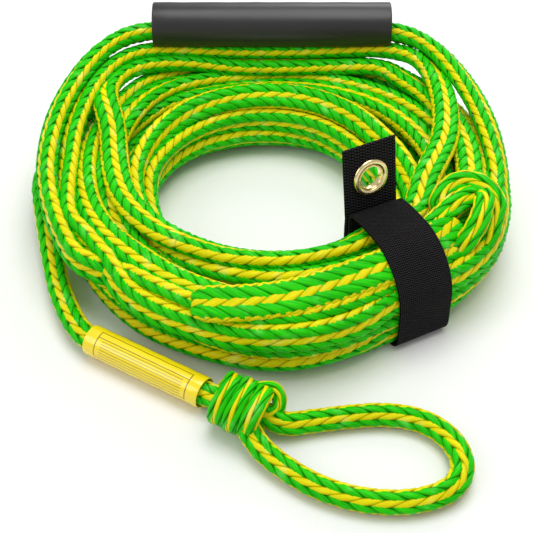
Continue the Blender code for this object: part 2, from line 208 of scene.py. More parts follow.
def object_place(tree):
    return tree.node("TexCoord", None, out=3)


# ==== materials ====
def strand_material(name, deep, body, fibre_tone_and_highlight, painted_glint):
    """Bundles of fine polypropylene fibre, laid along the strand, with painted shade at its edges and painted
    highlights and glints on the fibres.
    """
    tree = Tree(name)
    across, along = across_along(tree, "strand")
    fibre_place = tree.node("CombineXYZ", None, X=across * 9.0, Y=along * 55.0)
    fibres = noise(tree, fibre_place, 1.0, 4.0, 0.6)
    fine_place = tree.node("CombineXYZ", None, X=across * 26.0, Y=along * 90.0)
    fine = noise(tree, fine_place, 1.0, 2.0, 0.5)
    place = object_place(tree)
    wide = noise(tree, place, 22.0, 2.0, 0.5)
    # Painted shade: each strand darkens towards both edges, where the strands beside it shade it.
    edge = (across * 2.0 - 1.0).size() ** 3.0
    # Fibre tone that differs at random, partly painted highlight streaks on the glossy fibres.
    lit = ((fibres - 0.5) * 2.3 + (fine - 0.5) * 1.1 + (wide - 0.5) * 0.8 + 0.42).clamped()
    base = colour(tree, lit, body, fibre_tone_and_highlight)
    # Painted glint: sparse pale patches on the fibres stand in for reflections off the glossy strands.
    painted_gleam = ((noise(tree, place, 75.0, 2.0, 0.5) - 0.58) * 5.0).clamped() * fibres
    base = colour(tree, painted_gleam * 0.9, base, painted_glint)
    # Mixes in the deep colour as painted shade at the strand's edges.
    base = colour(tree, edge * 0.6, base, deep)
    height = fibres * 0.7 + fine * 0.45
    return tree.set(
        Base_Color=base,
        Roughness=(0.40 + (fibres - 0.5) * 0.35).clamped(),
        Normal=bump(tree, height, 0.55, 0.0006),
        Specular_IOR_Level=0.12,
    )


# Strand colours in order: painted shade at the edges, body, fibre tone and painted highlight, painted glint.
GREENS = [(0.0, 0.07, 0.0), (0.003, 0.42, 0.0), (0.040, 0.77, 0.002), (0.20, 0.88, 0.15)]
YELLOWS = [(0.26, 0.19, 0.0), (0.71, 0.62, 0.0), (0.90, 0.84, 0.003), (0.98, 0.95, 0.25)]
STRAND_MATERIALS = [strand_material("line_green", *GREENS), strand_material("line_yellow", *YELLOWS)]


# ==== paths ====
def distances(points):
    """How far along a path each of its points lies."""
    return np.concatenate([[0], np.cumsum(np.linalg.norm(np.diff(points, axis=0), axis=1))])


def smooth_line(points, step):
    """Evenly spaced points on the smooth curve through a route's points, with any extra columns eased too."""
    pts = np.array(points, float)
    pts = np.vstack([2 * pts[0] - pts[1], pts, 2 * pts[-1] - pts[-2]])
    t = np.linspace(0, 1, 24, endpoint=False)[:, None]
    fine = []
    for i in range(1, len(pts) - 2):
        before, a, b, after = pts[i - 1 : i + 3]
        fine.append(
            a
            + (b - before) * (t / 2)
            + (2 * before - 5 * a + 4 * b - after) * (t * t / 2)
            + (3 * a - before - 3 * b + after) * (t**3 / 2)
        )
    fine = np.vstack(fine + [pts[-2:-1]])
    along = distances(fine[:, :3])
    count = max(2, round(along[-1] / step))
    want = np.linspace(0, along[-1], count + 1)
    return np.stack([np.interp(want, along, fine[:, k]) for k in range(fine.shape[1])], axis=1)


def unit(v):
    return v / np.maximum(np.linalg.norm(v, axis=-1, keepdims=True), 1e-12)


def directions(path, flat):
    """Ahead, flat and deep directions along a path, given roughly which way its flat lies."""
    ahead = unit(np.gradient(path, axis=0))
    wide = unit(flat - ahead * np.sum(flat * ahead, axis=1, keepdims=True))
    deep = np.cross(ahead, wide)
    return ahead, wide, deep


def length_of(path):
    return float(np.linalg.norm(np.diff(path, axis=0), axis=1).sum())


def eased(values, rounds):
    """Smooths a row of values in place, keeping its ends."""
    for _ in range(rounds):
        values[1:-1] = 0.5 * values[1:-1] + 0.25 * (values[:-2] + values[2:])
    return values


def stadium(share, width, depth):
    """A point and outward normal on a flattened section, by its share round from the wide edge."""
    radius = depth / 2
    flat = np.maximum(width - depth, 0)
    s = (share % 1.0) * (2 * flat + pi * depth)
    quarter = pi * radius / 2
    parts = [s < quarter, s < quarter + flat, s < 3 * quarter + flat, s < 3 * quarter + 2 * flat]
    top, left, low, last = s - quarter, s - quarter - flat, s - 3 * quarter - flat, s - 3 * quarter - 2 * flat
    angles = [s / radius, pi / 2, left / radius + pi / 2, 3 * pi / 2]
    angle = np.select(parts, angles, last / radius + 3 * pi / 2)
    centre = np.select(parts, [flat / 2, flat / 2 - top, -flat / 2, -flat / 2 + low], flat / 2)
    nx, ny = np.cos(angle), np.sin(angle)
    return centre + radius * nx, radius * ny, nx, ny


def mesh_piece(name, verts, faces, slots, uvs, materials):
    """A smooth mesh from arrays: corner UVs and a material slot for each face."""
    mesh = bpy.data.meshes.new(name)
    count, corners = faces.shape
    mesh.vertices.add(len(verts))
    mesh.vertices.foreach_set("co", verts.astype(np.float32).ravel())
    mesh.loops.add(count * corners)
    mesh.loops.foreach_set("vertex_index", faces.astype(np.int32).ravel())
    mesh.polygons.add(count)
    mesh.polygons.foreach_set("loop_start", np.arange(0, count * corners, corners, dtype=np.int32))
    mesh.polygons.foreach_set("material_index", slots.astype(np.int32))
    layer = mesh.uv_layers.new(name="strand")
    layer.data.foreach_set("uv", uvs.astype(np.float32).ravel())
    mesh.update(calc_edges=True)
    mesh.validate()
    mesh.shade_smooth()
    for mat in materials:
        mesh.materials.append(mat)
    return linked(name, mesh)


# A strand's section: places across it, their heights, and how far round it each corner lies.
STRAND_LANES = np.array([-1.0, -0.48, 0.48, 1.0, 0.0])
STRAND_CROWN = np.array([-0.28, 0.95, 0.95, -0.28, -1.05])
STRAND_UV = np.array([0.0, 0.3, 0.7, 1.0, 1.35, 1.7])
WALL = 0.0011


def weave_wave(share):
    """A strand's way in and out through the braid, from -1 to 1, flattened at both ends."""
    return np.tanh(1.9 * np.cos(tau * 4 * share)) / 0.96


def ring_faces(steps, ring, base):
    """Four-cornered faces of a tube of rings, from its first vertex on."""
    rows = base + np.arange(steps)[:, None] * ring
    cols = np.arange(ring)[None, :]
    nxt = (cols + 1) % ring
    corners = [rows + cols, rows + nxt, rows + ring + nxt, rows + ring + cols]
    return np.stack(corners, axis=-1).reshape(-1, 4)


def braided(name, path, flat, width=LINE_WIDTH, depth=LINE_DEPTH, lead=LEAD, start=0.0, rise=1.0):
    """A hollow braid along a path: each strand is a crowned ribbon that goes over two others and under two.

    Its section is a flattened tube: width and depth may be one number each or one for each path point."""
    length = length_of(path)
    steps = max(6, round(length / (LEAD / 4) * (STEPS_PER_WAVE if length > SHORT else FINE_STEPS)))
    along = distances(path)
    want = np.linspace(0, length, steps + 1)
    pick = lambda values: np.stack([np.interp(want, along, values[:, k]) for k in range(3)], axis=1)
    widths = np.interp(want, along, np.broadcast_to(width, len(path)))
    depths = np.interp(want, along, np.broadcast_to(depth, len(path)))
    spine = pick(path)
    ahead, wide, deep = directions(spine, pick(flat))
    around = 2 * (widths - depths) + pi * depths
    spacing = around / (STRANDS / 2) * cos(BRAID_ANGLE)
    rise_here = STRAND_RISE * rise * depths / LINE_DEPTH
    thick = STRAND_THICKNESS * rise
    bias = GREEN_BIAS * (1.0 + 1.8 * np.clip((spine[:, 1] - 0.04) / 0.08, 0, 1))[:, None]
    verts, faces, slots, uvs = [], [], [], []
    ring = len(STRAND_LANES)
    base = 0
    for strand in range(STRANDS):
        hand = 1 if strand % 2 == 0 else -1
        turn = (strand // 2) / (STRANDS / 2)
        share = turn + hand * (want + start) / lead
        over = -hand * weave_wave(share)
        half = spacing * (0.565 + 0.055 * over)
        lane_share = STRAND_LANES[None, :] * (half / around)[:, None] / cos(BRAID_ANGLE) * 0.90
        centre_share = share[:, None] + lane_share
        own_share = share[:, None] + (centre_share - share[:, None]) * 0.72
        lift = -hand * weave_wave(own_share) * rise_here[:, None]
        lift = np.where(lift < 0, lift * 1.3, lift) + hand * bias
        x, y, nx, ny = stadium(centre_share, (widths - 2 * WALL)[:, None], (depths - 2 * WALL)[:, None])
        # across the ribbon it also runs along the line, square to the strand
        slide = -hand * STRAND_LANES[None, :] * half[:, None] * sin(BRAID_ANGLE) * 0.55
        out = lift + STRAND_CROWN[None, :] * (thick * (0.82 + 0.18 * over))[:, None] + 0.0004
        point = (
            spine[:, None, :]
            + wide[:, None, :] * (x + nx * out)[..., None]
            + deep[:, None, :] * (y + ny * out)[..., None]
            + ahead[:, None, :] * slide[..., None]
        )
        verts.append(point.reshape(-1, 3))
        quads = ring_faces(steps, ring, base)
        faces.append(quads)
        u0, u1 = (np.broadcast_to(u, (steps, ring)) for u in (STRAND_UV[:-1], STRAND_UV[1:]))
        v0, v1 = (np.broadcast_to(v[:, None] + strand * 0.37, (steps, ring)) for v in (want[:-1], want[1:]))
        uvs.append(np.stack([u0, v0, u1, v0, u1, v1, u0, v1], axis=-1).reshape(-1, 2))
        slots.append(np.full(len(quads), 0 if hand > 0 else 1))
        base += len(verts[-1])
    verts = np.vstack(verts) + COIL_CENTRE
    piece = mesh_piece(name, verts, np.vstack(faces), np.concatenate(slots), np.vstack(uvs), STRAND_MATERIALS)
    close_ends(piece)
    return piece


def object_from(bm, name, *materials):
    """Turns a bmesh into an object of its own."""
    mesh = bpy.data.meshes.new(name)
    bm.to_mesh(mesh)
    bm.free()
    for mat in materials:
        mesh.materials.append(mat)
    return linked(name, mesh)


def close_ends(piece):
    """Caps the strands' ends and turns every face outwards."""
    bm = bmesh.new()
    bm.from_mesh(piece.data)
    open_edges = [e for e in bm.edges if e.is_boundary]
    bmesh.ops.holes_fill(bm, edges=open_edges, sides=8)
    bmesh.ops.recalc_face_normals(bm, faces=bm.faces)
    bm.to_mesh(piece.data)
    bm.free()
    piece.data.shade_smooth()


# ==== the coil: where each turn of the line lies ====
# Coil plan: angle in degrees, outer radius, inner radius, height of the bundle there.
COIL_STATIONS = [
    (0, 0.187, 0.079, 0.066), (30, 0.188, 0.077, 0.066), (48, 0.188, 0.08, 0.067),
    (70, 0.181, 0.085, 0.067), (90, 0.176, 0.086, 0.068), (110, 0.183, 0.088, 0.067),
    (130, 0.194, 0.091, 0.065), (148, 0.187, 0.093, 0.062), (168, 0.179, 0.093, 0.06),
    (190, 0.173, 0.092, 0.06), (215, 0.172, 0.093, 0.063), (245, 0.177, 0.094, 0.066),
    (270, 0.183, 0.095, 0.068), (295, 0.181, 0.099, 0.072), (315, 0.184, 0.1, 0.072),
    (338, 0.187, 0.09, 0.069),
]
STRAP_ANGLE = radians(-62)
STRAP_MIDDLE = np.array((0.090, -0.103, 0.0))
STRAP_OUT = np.array((cos(STRAP_ANGLE), sin(STRAP_ANGLE), 0.0))
STRAP_SIDE = np.array((-sin(STRAP_ANGLE), cos(STRAP_ANGLE), 0.0))
# The room inside the strap's wrap, as distances out from its middle and up: a box with a round shoulder.
ROOM_OUT, ROOM_UP = (-0.0339, 0.0360), (0.0034, 0.0755)
SHOULDER_CENTRE, SHOULDER_SIZE = (-0.0040, 0.0345), (0.0402, 0.0405)
# The strap's squeeze is felt this far to each side of its middle.
SQUEEZE = 0.036
# How square the bundle's outline is.
BUNDLE_POWER = 2.9

STATION_TABLE = np.array(COIL_STATIONS + [(360, *COIL_STATIONS[0][1:])], float)


def station(angle):
    """Outer radius, inner radius and height of the coil at angles in degrees, eased between the stations."""
    angle = np.asarray(angle, float) % 360
    k = np.clip(np.searchsorted(STATION_TABLE[:, 0], angle, side="right") - 1, 0, len(STATION_TABLE) - 2)
    low, high = STATION_TABLE[k], STATION_TABLE[k + 1]
    share = 0.5 - 0.5 * np.cos(pi * (angle - low[..., 0]) / (high[..., 0] - low[..., 0]))
    return (low + (high - low) * share[..., None])[..., 1:]


# Each turn's place in the bundle's section at the left, back, right and front: across it from the hole
# (-1) to the outside (1), and up it from the floor (0) to the top (1).
TURNS = [
    [(0.98, 0.50), (0.84, 0.15), (0.82, 0.13), (0.80, 0.13)],
    [(0.42, 0.11), (0.42, 0.11), (0.42, 0.11), (0.40, 0.11)],
    [(0.02, 0.11), (0.00, 0.11), (0.00, 0.11), (-0.02, 0.11)],
    [(-0.42, 0.11), (-0.45, 0.11), (-0.45, 0.11), (-0.50, 0.11)],
    [(-0.86, 0.18), (-0.88, 0.17), (-0.88, 0.17), (-0.88, 0.20)],
    [(-0.88, 0.48), (-0.90, 0.46), (-0.88, 0.50), (-0.86, 0.52)],
    [(-0.72, 0.78), (-0.66, 0.80), (-0.52, 0.74), (-0.52, 0.72)],
    [(-0.45, 0.42), (-0.45, 0.40), (-0.45, 0.42), (-0.42, 0.42)],
    [(-0.02, 0.40), (0.00, 0.36), (0.00, 0.40), (0.02, 0.40)],
    [(0.42, 0.38), (0.44, 0.36), (0.44, 0.40), (0.46, 0.38)],
    [(0.88, 0.34), (0.90, 0.42), (0.90, 0.45), (0.90, 0.44)],
    [(0.20, 0.62), (0.00, 0.72), (0.04, 0.70), (-0.05, 0.64)],
    [(0.02, 0.70), (0.45, 0.66), (0.42, 0.72), (0.30, 0.68)],
    [(0.42, 0.80), (0.88, 0.66), (0.86, 0.76), (0.84, 0.72)],
]
# The first stretch comes in from the tail, outside the bundle at the left.
LEAD_IN_ROUTE = [
    (-0.187, 0.014, 0.029), (-0.1865, 0.034, 0.032), (-0.183, 0.056, 0.0345), (-0.176, 0.078, 0.035),
    (-0.166, 0.098, 0.033),
]
# The tail, from the coil's left side through the label sleeve to the front knot.
TAIL_ROUTE = [
    (-0.1855, 0.014, 0.029), (-0.181, -0.008, 0.026), (-0.1755, -0.034, 0.0215),
    (-0.1695, -0.062, 0.0165), (-0.162, -0.09, 0.0128), (-0.1525, -0.114, 0.0115),
    (-0.143, -0.1325, 0.0118), (-0.131, -0.146, 0.0118), (-0.1, -0.1652, 0.0118),
    (-0.075, -0.1807, 0.0118), (-0.048, -0.1975, 0.0118), (-0.037, -0.205, 0.014),
    (-0.026, -0.212, 0.0175),
]
# The free end loop, out of the front knot and back into it.
LOOP_ROUTE = [
    (-0.01, -0.217, 0.016), (0.0062, -0.2238, 0.0108), (0.026, -0.22, 0.0088), (0.051, -0.216, 0.0086),
    (0.076, -0.2145, 0.0086), (0.098, -0.2195, 0.0086), (0.113, -0.231, 0.0086),
    (0.121, -0.2465, 0.0086), (0.121, -0.2625, 0.0086), (0.113, -0.2755, 0.0086),
    (0.098, -0.2835, 0.0086), (0.078, -0.287, 0.0086), (0.053, -0.2845, 0.0086),
    (0.029, -0.2755, 0.0086), (0.009, -0.262, 0.009), (-0.009, -0.2455, 0.0112),
    (-0.019, -0.231, 0.017),
]
# The second end's loop, from its folded end at the front to the strap.
TUCKED_ROUTE = [
    (-0.05, -0.16, 0.06), (-0.022, -0.1605, 0.061), (0.008, -0.1565, 0.062), (0.038, -0.146, 0.063),
    (0.066, -0.132, 0.0635), (0.092, -0.116, 0.0628), (0.114, -0.097, 0.0632), (0.13, -0.078, 0.064),
]
TUCKED_TILT = radians(34)

# The turn through the grip sleeve.
HANDLE_ROUTE = [
    (-0.172, -0.032, 0.051), (-0.178, -0.006, 0.053), (-0.18, 0.022, 0.056), (-0.179, 0.05, 0.06),
    (-0.174, 0.076, 0.065), (-0.165, 0.101, 0.071), (-0.153, 0.124, 0.077), (-0.139, 0.142, 0.081),
    (-0.122, 0.153, 0.0838), (-0.101, 0.157, 0.0848), (-0.06, 0.1575, 0.0848), (0.0, 0.1575, 0.0848),
    (0.06, 0.1575, 0.0848), (0.099, 0.156, 0.0848), (0.12, 0.149, 0.0838), (0.137, 0.134, 0.081),
    (0.15, 0.113, 0.077), (0.161, 0.089, 0.072), (0.169, 0.064, 0.067), (0.174, 0.038, 0.062),
    (0.176, 0.012, 0.057), (0.176, -0.012, 0.052),
]
# The way up from the bundle to the handle's turn, at the left.
HANDLE_LEAD = [
    (-0.1365, -0.104, 0.045), (-0.153, -0.08, 0.046), (-0.1645, -0.056, 0.048),
]
# The turn that follows the handle's own turn: down the right side, across the front low on the outside,
# up inside the handle's turn at the left, straight along under the sleeve, in to the hole at the right
# and down under the strap, then along the front beside the hole.
SECOND_ROUTE = [
    (0.1755, -0.03, 0.048), (0.17, -0.06, 0.046), (0.158, -0.088, 0.045), (0.14, -0.115, 0.044),
    (0.115, -0.139, 0.042), (0.085, -0.157, 0.042), (0.05, -0.17, 0.043), (0.01, -0.1755, 0.043),
    (-0.03, -0.1735, 0.043), (-0.07, -0.162, 0.044), (-0.105, -0.139, 0.046), (-0.133, -0.108, 0.048),
    (-0.152, -0.07, 0.049), (-0.161, -0.028, 0.0495), (-0.164, 0.015, 0.05), (-0.1645, 0.045, 0.055),
    (-0.1605, 0.0735, 0.059), (-0.1535, 0.102, 0.063), (-0.14, 0.129, 0.066), (-0.1205, 0.147, 0.068),
    (-0.09, 0.1545, 0.068), (-0.04, 0.155, 0.068), (0.02, 0.155, 0.068), (0.08, 0.1545, 0.068),
    (0.109, 0.1485, 0.069), (0.127, 0.134, 0.07), (0.1365, 0.109, 0.07), (0.1405, 0.08, 0.069),
    (0.14, 0.05, 0.068), (0.135, 0.019, 0.067), (0.124, -0.008, 0.067), (0.112, -0.036, 0.0665),
    (0.0935, -0.0655, 0.0665), (0.076, -0.0835, 0.0665), (0.05, -0.0975, 0.064), (0.018, -0.103, 0.06),
    (-0.015, -0.102, 0.06), (-0.045, -0.093, 0.06),
]
# The turn after that crosses over the bundle from beside the hole out to the left, goes under the handle's
# turn at the back and comes round the right to the knot beside the strap.
THIRD_ROUTE = [
    (-0.072, -0.076, 0.0605), (-0.096, -0.05, 0.062), (-0.112, -0.02, 0.064), (-0.123, 0.015, 0.065),
    (-0.131, 0.05, 0.064), (-0.141, 0.088, 0.062), (-0.1385, 0.113, 0.06), (-0.119, 0.137, 0.06),
    (-0.078, 0.148, 0.0585), (-0.03, 0.147, 0.056), (0.02, 0.147, 0.056), (0.065, 0.145, 0.057),
    (0.105, 0.135, 0.06), (0.131, 0.109, 0.06), (0.146, 0.072, 0.058), (0.154, 0.035, 0.06),
    (0.156, 0.005, 0.062), (0.154, -0.02, 0.063), (0.151, -0.035, 0.0635),
]

# The line is laid as points this far apart, each with a track of its own on both sides of the middle.
SPACING = 0.008
TRACK = 0.0048
# Tracks of two stretches push each other apart when they are nearer than this.
TOUCH = 0.0108
# Points of one stretch that are this few places apart never push each other.
NEIGHBOURS = 5
# The least distance of a point of the bundle from its outline.
MARGIN = 0.0062


def outward_at(angle):
    """The level direction out from the coil's centre at angles in degrees."""
    a = np.radians(angle)
    return np.stack([np.cos(a), np.sin(a), 0 * a], axis=-1)


def polar(points):
    """Each point's angle in degrees and distance from the coil's centre."""
    return np.degrees(np.arctan2(points[:, 1], points[:, 0])), np.hypot(points[:, 0], points[:, 1])


def flat_at(across, up, outward):
    """Which way a line's flat lies at a place in the bundle's section: along the nearest outline."""
    side, top = across**3, (2 * up - 1) ** 3 * 1.1 + 0.02
    size = np.sqrt(side**2 + top**2) + 1e-9
    return outward * (top / size)[..., None] + UP * (-side / size)[..., None]


def in_section(across, up, angle):
    """A point of the bundle's section at an angle in degrees, and which way a line's flat lies there."""
    outer, inner, height = np.moveaxis(station(angle), -1, 0)
    middle, half = (outer + inner) / 2, (outer - inner) / 2 - MARGIN
    outward = outward_at(angle)
    point = outward * (middle + across * half * 1.05)[..., None]
    point[..., 2] = MARGIN + (height - 2 * MARGIN) * up * 1.02
    return point, flat_at(across, up, outward)


def steady(flat):
    """Flips each direction that points against the one before it."""
    for i in range(1, len(flat)):
        if np.dot(flat[i], flat[i - 1]) < 0:
            flat[i] = -flat[i]
    return flat


def turn_route():
    """The turns of the bundle as one route, from the tail's lead-in to near the handle's turn."""
    keys = [(k + quarter / 4, *place) for k, turn in enumerate(TURNS) for quarter, place in enumerate(turn)]
    keys = np.array(keys + [(len(TURNS), 0.92, 0.86)])
    fine = np.arange(0.16, len(TURNS) - 0.17, 1 / 110)
    across = np.interp(fine, keys[:, 0], keys[:, 1])
    up = np.interp(fine, keys[:, 0], keys[:, 2])
    ease = np.hanning(23)
    ease /= ease.sum()
    pad = lambda v: np.convolve(np.pad(v, 11, mode="edge"), ease, mode="valid")
    across, up = pad(across), pad(up)
    wander = 0.05 * np.sin(tau * fine * 1.37 + 0.4) + 0.035 * np.sin(tau * fine * 2.71 + 1.9)
    lift = 0.03 * np.sin(tau * fine * 1.73 + 2.2)
    angle = 180 - 360 * fine
    return in_section(across + wander, np.clip(up + lift, 0.04, 1.0), angle)


def flats_for(route):
    """Which way the flat of a listed route lies, from its place in the bundle's section."""
    angle, radius = polar(route)
    outer, inner, height = np.moveaxis(station(angle), -1, 0)
    across = (radius - (outer + inner) / 2) / ((outer - inner) / 2)
    return flat_at(np.clip(across, -1, 1), np.clip(route[:, 2] / height, 0, 1), outward_at(angle))


def held_in(points, reach):
    """Pulls points in to the bundle's outline, and at the strap to the inside of the strap's wrap."""
    angle, radius = polar(points)
    outer, inner, height = np.moveaxis(station(angle), -1, 0)
    middle, half = (outer + inner) / 2, (outer - inner) / 2
    u = (radius - middle) / (half - reach)
    v = (points[:, 2] - height / 2) / (height / 2 - reach)
    over = np.maximum((np.abs(u) ** BUNDLE_POWER + np.abs(v) ** BUNDLE_POWER) ** (1 / BUNDLE_POWER), 1.0)
    new_radius = middle + u / over * (half - reach)
    moved = points.copy()
    moved[:, 0] *= new_radius / radius
    moved[:, 1] *= new_radius / radius
    moved[:, 2] = np.maximum(height / 2 + v / over * (height / 2 - reach), reach + 0.0014)
    from_strap = points - STRAP_MIDDLE
    side = np.abs(from_strap @ STRAP_SIDE)
    x, z = from_strap @ STRAP_OUT, points[:, 2]
    near = (side < SQUEEZE) & (x > -0.09)
    low_corner = 0.003 * np.clip((0.022 - z) / 0.010, 0, 1)
    x2 = np.clip(x, ROOM_OUT[0] + reach, ROOM_OUT[1] - reach - low_corner)
    z2 = np.clip(z, ROOM_UP[0] + reach, ROOM_UP[1] - reach)
    (mid_x, mid_z), (wide, tall) = SHOULDER_CENTRE, (size - reach for size in SHOULDER_SIZE)
    shoulder = (x2 > mid_x) & (z2 > mid_z)
    ex, ez = (x2 - mid_x) / wide, (z2 - mid_z) / tall
    pull = np.where(shoulder, np.maximum(np.sqrt(ex**2 + ez**2), 1.0), 1.0)
    x2 = np.where(shoulder, mid_x + ex / pull * wide, x2)
    in_strap = points + STRAP_OUT * (x2 - x)[:, None]
    in_strap[:, 2] = np.where(shoulder, mid_z + ez / pull * tall, z2)
    blend = np.where(near, np.clip((SQUEEZE - side) / 0.012, 0, 1), 0.0)[:, None]
    return moved * (1 - blend) + in_strap * blend


def close_pairs(points, lane, reach):
    """Pairs of points nearer than reach that aren't neighbours on the same line."""
    firsts, seconds = [], []
    count = len(points)
    squares = (points**2).sum(axis=1)
    for low in range(0, count, 500):
        high = min(low + 500, count)
        gap = squares[low:high, None] + squares[None, :] - 2 * points[low:high] @ points.T
        i, j = np.nonzero(gap < reach * reach)
        i += low
        keep = (j > i) & (np.abs(lane[i] - lane[j]) > NEIGHBOURS)
        firsts.append(i[keep])
        seconds.append(j[keep])
    return np.concatenate(firsts), np.concatenate(seconds)


def settle(tracks, lane, free, rounds):
    """Lets the line's two edge tracks push each other apart until the turns lie beside each other.

    tracks is (points, 2 edges, 3); lane numbers the points so that neighbours on one stretch differ by 1;
    free is 1 where the line may move and 0 where something holds it."""
    home = tracks.copy()
    count = len(tracks)
    lanes = np.repeat(lane, 2)
    weight = np.repeat(free, 2)
    same = np.abs(np.diff(lane)) <= 1
    for step in range(rounds):
        flat = tracks.reshape(-1, 3)
        if step % 6 == 0:
            a, b = close_pairs(flat, lanes, TOUCH * 1.5)
        away = flat[a] - flat[b]
        gap = np.sqrt((away**2).sum(axis=1)) + 1e-9
        short = np.maximum(TOUCH - gap, 0.0)
        hit = short > 0
        total = weight[a] + weight[b] + 1e-9
        push = away / gap[:, None] * short[:, None] * 0.55
        moves = np.zeros_like(flat)
        tally = np.zeros(len(flat))
        for index, sign, share in ((a[hit], 1, weight[a[hit]]), (b[hit], -1, weight[b[hit]])):
            amount = push[hit] * (sign * 2 * share / total[hit])[:, None]
            for k in range(3):
                moves[:, k] += np.bincount(index, amount[:, k], len(flat))
            tally += np.bincount(index, minlength=len(flat))
        moves /= np.maximum(tally, 1.0)[:, None] ** 0.6
        flat = flat + moves * 0.5
        tracks = flat.reshape(count, 2, 3)
        drift = tracks - home
        calm = drift.copy()
        calm[1:-1] = np.where(
            (same[:-1] & same[1:])[:, None, None],
            0.5 * drift[1:-1] + 0.25 * (drift[:-2] + drift[2:]),
            drift[1:-1],
        )
        soft = 0.55 if step < rounds * 0.8 else 0.25
        tracks = home + drift + (calm - drift) * soft * free[:, None, None]
        middle = tracks.mean(axis=1, keepdims=True)
        arm = unit(tracks - middle) * TRACK
        tracks = middle + arm
        inside = held_in(tracks.reshape(-1, 3), LINE_DEPTH / 2).reshape(count, 2, 3)
        tracks = tracks + (inside - tracks) * (0.6 * free)[:, None, None]
    return tracks


def lay_coil():
    """Settles the whole wound line together, and returns its path, its flat direction and its marks."""
    turns, turn_flat = turn_route()
    # Each part's mark, and how freely it may move: 0 where it stays as listed.
    parts = [
        (0, LEAD_IN_ROUTE, 0.0),
        (1, turns[::4], 1.0),
        (1.5, HANDLE_LEAD, 0.0),
        (2, HANDLE_ROUTE, 0.0),
        (3, SECOND_ROUTE[:12], 0.5),
        (3, SECOND_ROUTE[12:32], 0.0),
        (3, SECOND_ROUTE[32:], 0.3),
        (4, THIRD_ROUTE[:4], 0.5),
        (4, THIRD_ROUTE[4:13], 0.0),
        (4, THIRD_ROUTE[13:], 0.5),
    ]
    rows = []
    for mark, route, free in parts:
        route = np.array(route)
        flat = turn_flat[::4] if mark == 1 else flats_for(route)
        rows.append(np.hstack([route, flat, np.full((len(route), 1), free), np.full((len(route), 1), mark)]))
    rows = np.vstack(rows)
    rows[:, 3:6] = steady(rows[:, 3:6].copy())
    rows = smooth_line(rows, SPACING)
    path, flat, give, mark = rows[:, :3], rows[:, 3:6], np.clip(rows[:, 6], 0, 1), rows[:, 7]
    flat = directions(path, eased(flat, 6))[1]
    tracks = np.stack([path - flat * TRACK, path + flat * TRACK], axis=1)
    tracks = settle(tracks, np.arange(len(path)), give, 160)
    for _ in range(3):
        tracks = eased(tracks, 1)
        inside = held_in(tracks.reshape(-1, 3), LINE_DEPTH / 2 + 0.0006).reshape(tracks.shape)
        tracks = tracks + (inside - tracks) * np.clip(give * 2.5, 0, 1)[:, None, None]
    return tracks.mean(axis=1), unit(tracks[:, 1] - tracks[:, 0]), mark


def assign(piece, body, slot, *nodes):
    """Gives a piece its body and hides the CAD nodes that it stands in for; slot is not used."""
    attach(piece, body)
    if nodes:
        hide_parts(*nodes)


def as_cord(path):
    """Works out a stretch's start, length and points, and keeps none of them."""
    path[0] + COIL_CENTRE
    length_of(path)
    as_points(path + COIL_CENTRE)


def seen_flat(path):
    """Turns a round stretch so that one of its yellow columns faces up and forward."""
    return unit(np.cross(VIEW_WAY, unit(np.gradient(path, axis=0))))


line, line_flat, line_mark = lay_coil()
along_line = distances(line)
# The tail takes the first points of the line, up to this one.
TAIL_SHARE = 6
handle_from, handle_to, third_from = (int(np.argmax(line_mark > mark)) for mark in (1.75, 2.4, 3.5))
joins = list(np.linspace(TAIL_SHARE, handle_from, 7).astype(int)) + [handle_to, third_from, len(line) - 1]
names = [f"coil_line_{k}" for k in range(1, 7)] + ["handle_line", "second_line", "third_line"]
# The line is rounder where the sleeve holds it.
near_handle = np.clip(1 - np.abs(line_mark - 2.0) / 0.5, 0, 1)
widths = LINE_WIDTH - near_handle * 0.0032
depths = LINE_DEPTH + near_handle * 0.0016
for name, s, e in zip(names, joins[:-1], joins[1:]):
    run = slice(s, e + 1)
    piece = braided(name, line[run], line_flat[run], widths[run], depths[run], start=along_line[s])
    hidden = {"coil_line_1": ("coil_bundle",), "handle_line": ("handle_turn",)}.get(name, ())
    assign(piece, "coil", "line", *hidden)
    as_cord(line[run])

# ---- the tail, from just inside the coil to the front knot ----
tail_free = smooth_line(TAIL_ROUTE, 0.006)
tail_path = np.vstack([line[TAIL_SHARE:0:-1], tail_free])
tail_flat = eased(steady(np.vstack([line_flat[TAIL_SHARE:0:-1], seen_flat(tail_free)])), 20)
tail_path = smooth_line(np.hstack([tail_path, tail_flat]), 0.006)
tail_path, tail_flat = tail_path[:, :3], tail_path[:, 3:]
rounder = np.clip((distances(tail_path) - 0.06) / 0.08, 0, 1)
tail_width, tail_depth = LINE_WIDTH - 0.0052 * rounder, LINE_DEPTH + 0.0022 * rounder
tail = braided("tail_line", tail_path, tail_flat, tail_width, tail_depth)

# ---- the front loop ----
loop_path = smooth_line(LOOP_ROUTE, 0.006)
loop = braided("front_loop_line", loop_path, seen_flat(loop_path), 0.0150, 0.0126)


# ==== knots ====
KNOT_CENTRE = np.array((-0.021, -0.2170, 0.0206))
KNOT_AHEAD = np.array((cos(radians(-30)), sin(radians(-30)), 0.0))
KNOT_SIDE = np.array((-KNOT_AHEAD[1], KNOT_AHEAD[0], 0.0))


def wraps_path():
    """Crossing wraps round the front knot, as one winding that leans along it."""
    t = np.linspace(0, 1, 90)
    turn = tau * (0.88 + 2.98 * t)
    along = -0.0195 + 0.0350 * t + 0.0046 * np.sin(turn)
    swell = np.sqrt(np.clip(1 - (along / 0.040) ** 2, 0.05, 1))
    side, up = np.cos(turn) * 0.0158 * swell, np.sin(turn) * 0.0142 * swell - 0.0006
    return KNOT_CENTRE + KNOT_AHEAD * along[:, None] + KNOT_SIDE * side[:, None] + UP * up[:, None]


